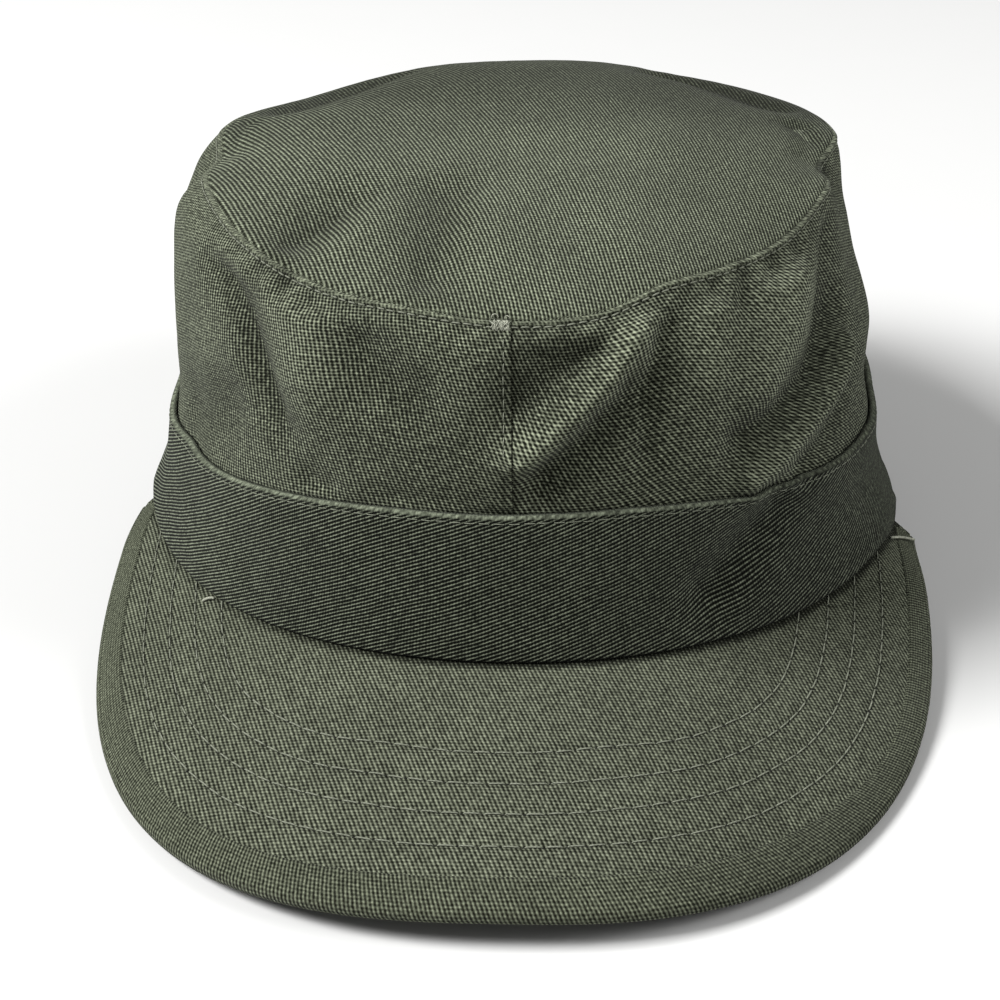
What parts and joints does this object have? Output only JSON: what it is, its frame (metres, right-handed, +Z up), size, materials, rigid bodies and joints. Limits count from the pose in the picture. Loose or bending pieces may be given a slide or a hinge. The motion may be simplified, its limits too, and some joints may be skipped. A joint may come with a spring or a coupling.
{
  "type": "patrol cap",
  "caption": "Soft cloth patrol cap with a low domed crown, a broad plain band and a stiff rounded visor, resting on a flat surface.",
  "frame": {"origin": "on the surface that the cap rests on, under the middle of its box", "axes": "+Z up, -Y to the front where the visor points, +X to the right of someone facing the cap"},
  "size_m": [0.186, 0.2726, 0.1014],
  "materials": {
    "top_cloth": "olive green cotton twill, matt",
    "side_cloth": "olive green cotton twill, matt",
    "band_cloth": "olive green cotton twill cut across the grain, matt",
    "visor_cloth": "olive green cotton twill with rows of stitching, matt"
  },
  "bodies": {
    "root": {"top_panel": "top_cloth", "side_panel_left": "side_cloth", "side_panel_right": "side_cloth", "band": "band_cloth", "visor": "visor_cloth"}
  },
  "joints": []
}
